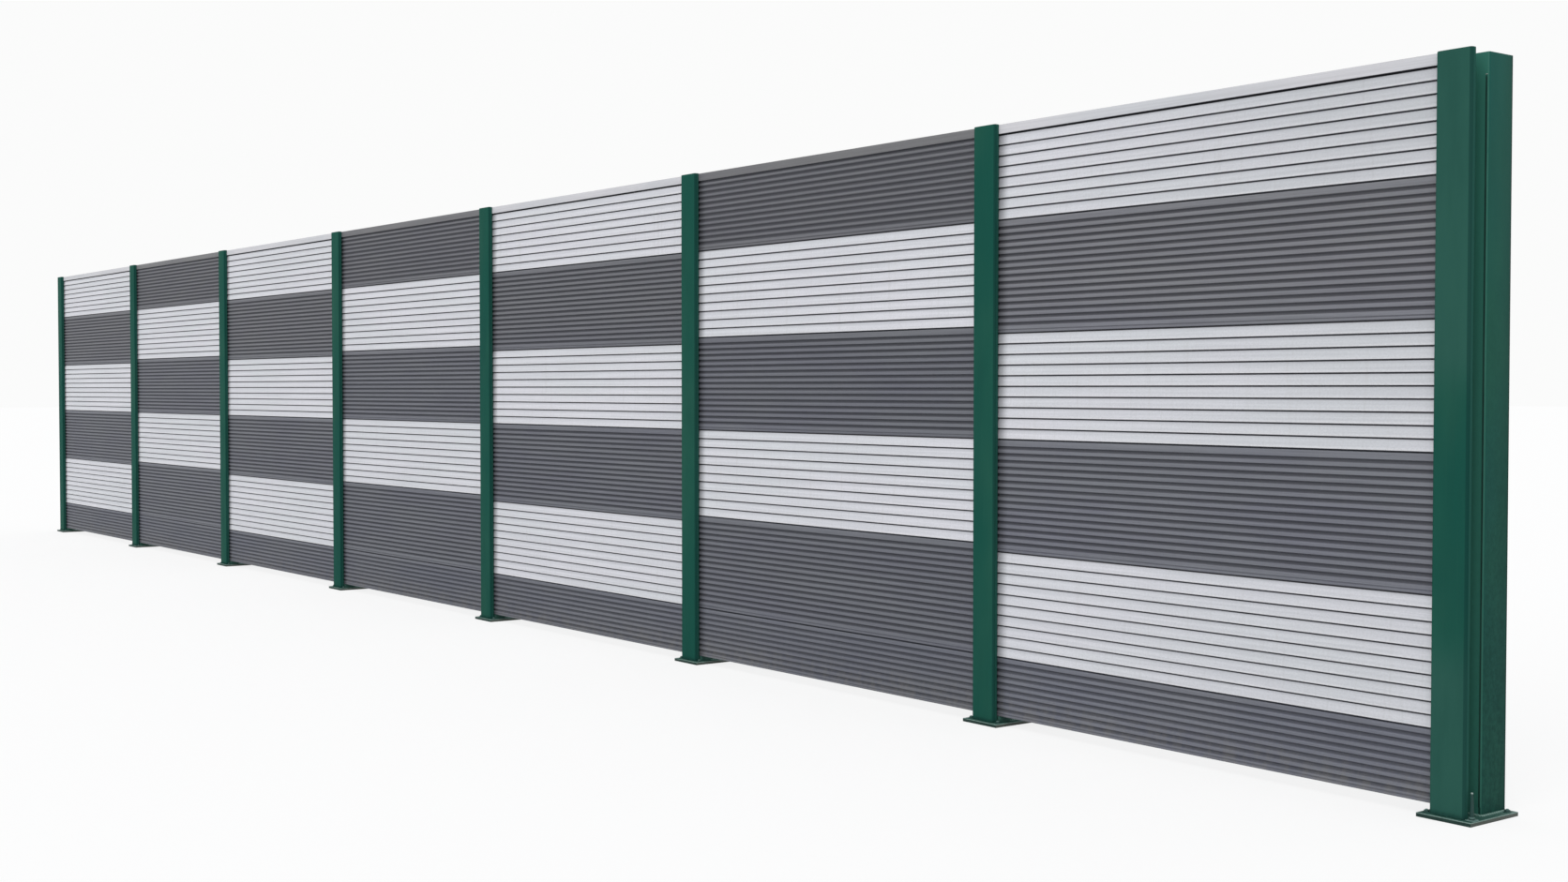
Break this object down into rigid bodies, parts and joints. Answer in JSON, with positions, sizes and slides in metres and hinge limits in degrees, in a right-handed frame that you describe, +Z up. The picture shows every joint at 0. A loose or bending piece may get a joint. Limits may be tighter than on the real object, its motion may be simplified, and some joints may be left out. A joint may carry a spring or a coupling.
{
  "type": "highway noise barrier",
  "caption": "Straight roadside noise barrier: steel posts on bolted base plates hold stacked slatted and ribbed sound panels under a folded coping.",
  "frame": {"origin": "centre of the underside of the first post's base plate, at the left end for someone facing the wall from the road", "axes": "+X runs along the wall to the last post, -Y is the front, towards the road, +Z is up"},
  "size_m": [17.73, 0.31, 2.85],
  "materials": {
    "post_steel": "satin green powder coat",
    "post_cover": "satin green powder coat",
    "base_plate": "satin green powder coat",
    "light_panel": "satin light grey coating",
    "dark_panel": "satin dark grey coating",
    "base_panel": "satin dark grey coating",
    "light_coping": "satin light grey coating",
    "dark_coping": "satin dark grey coating",
    "rubber_strip": "matt black"
  },
  "bodies": {
    "root": {"post_1": "post_steel", "post_cover_1": "post_cover", "post_2": "post_steel", "post_cover_2": "post_cover", "post_3": "post_steel", "post_cover_3": "post_cover", "post_4": "post_steel", "post_cover_4": "post_cover", "post_5": "post_steel", "post_cover_5": "post_cover", "post_6": "post_steel", "post_cover_6": "post_cover", "post_7": "post_steel", "post_cover_7": "post_cover", "post_8": "post_steel", "post_cover_8": "post_cover", "bay_1_light_panels": "light_panel", "bay_1_dark_panels": "dark_panel", "bay_1_base_panel": "base_panel", "bay_2_light_panels": "light_panel", "bay_2_dark_panels": "dark_panel", "bay_2_base_panel": "base_panel", "bay_3_light_panels": "light_panel", "bay_3_dark_panels": "dark_panel", "bay_3_base_panel": "base_panel", "bay_4_light_panels": "light_panel", "bay_4_dark_panels": "dark_panel", "bay_4_base_panel": "base_panel", "bay_5_light_panels": "light_panel", "bay_5_dark_panels": "dark_panel", "bay_5_base_panel": "base_panel", "bay_6_light_panels": "light_panel", "bay_6_dark_panels": "dark_panel", "bay_6_base_panel": "base_panel", "bay_7_light_panels": "light_panel", "bay_7_dark_panels": "dark_panel", "bay_7_base_panel": "base_panel", "light_copings": "light_coping", "dark_copings": "dark_coping", "base_plates": "base_plate", "press_strips": "rubber_strip", "seal_strips": "rubber_strip"}
  },
  "joints": []
}
